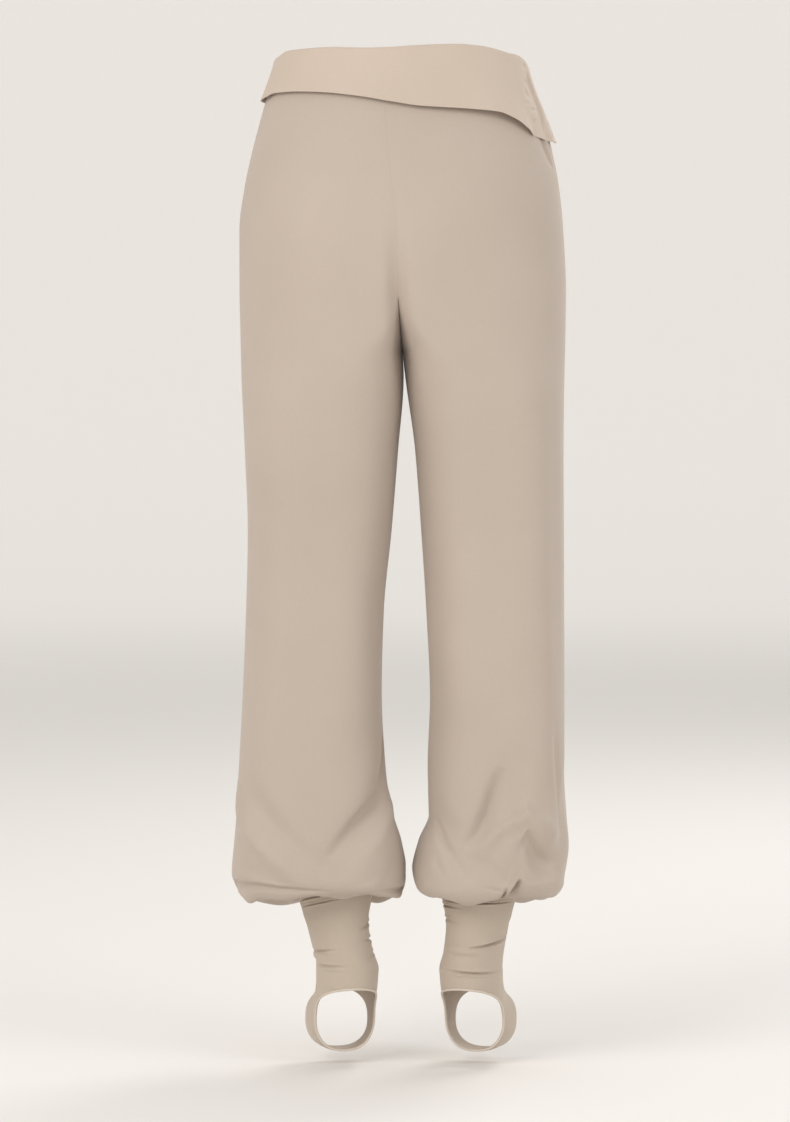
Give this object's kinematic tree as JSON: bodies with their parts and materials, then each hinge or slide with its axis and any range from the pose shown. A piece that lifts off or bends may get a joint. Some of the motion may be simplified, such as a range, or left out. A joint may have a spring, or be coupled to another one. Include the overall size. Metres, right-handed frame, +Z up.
{
  "type": "wide-leg pants",
  "caption": "Wide-leg pants as worn, with a fold-over waistband that drops at one side, legs gathered under at the hem, and stirrup cuffs with heel openings.",
  "frame": {"origin": "middle of the waist opening, level with the folded top edge at the wearer's sides", "axes": "+Z up along the wearer, +X towards the wearer's left, -Y towards the front of the garment"},
  "size_m": [0.3532, 0.2218, 1.0572],
  "materials": {
    "leg_jersey": "matte smooth stretch jersey",
    "band_jersey": "matte smooth stretch jersey, two layers",
    "cuff_jersey": "matte smooth stretch jersey under tension"
  },
  "bodies": {
    "root": {"back_waistband": "band_jersey", "front_waistband": "band_jersey", "left_back_leg": "leg_jersey", "left_front_leg": "leg_jersey", "right_back_leg": "leg_jersey", "right_front_leg": "leg_jersey", "left_stirrup_cuff": "cuff_jersey", "right_stirrup_cuff": "cuff_jersey"}
  },
  "joints": []
}
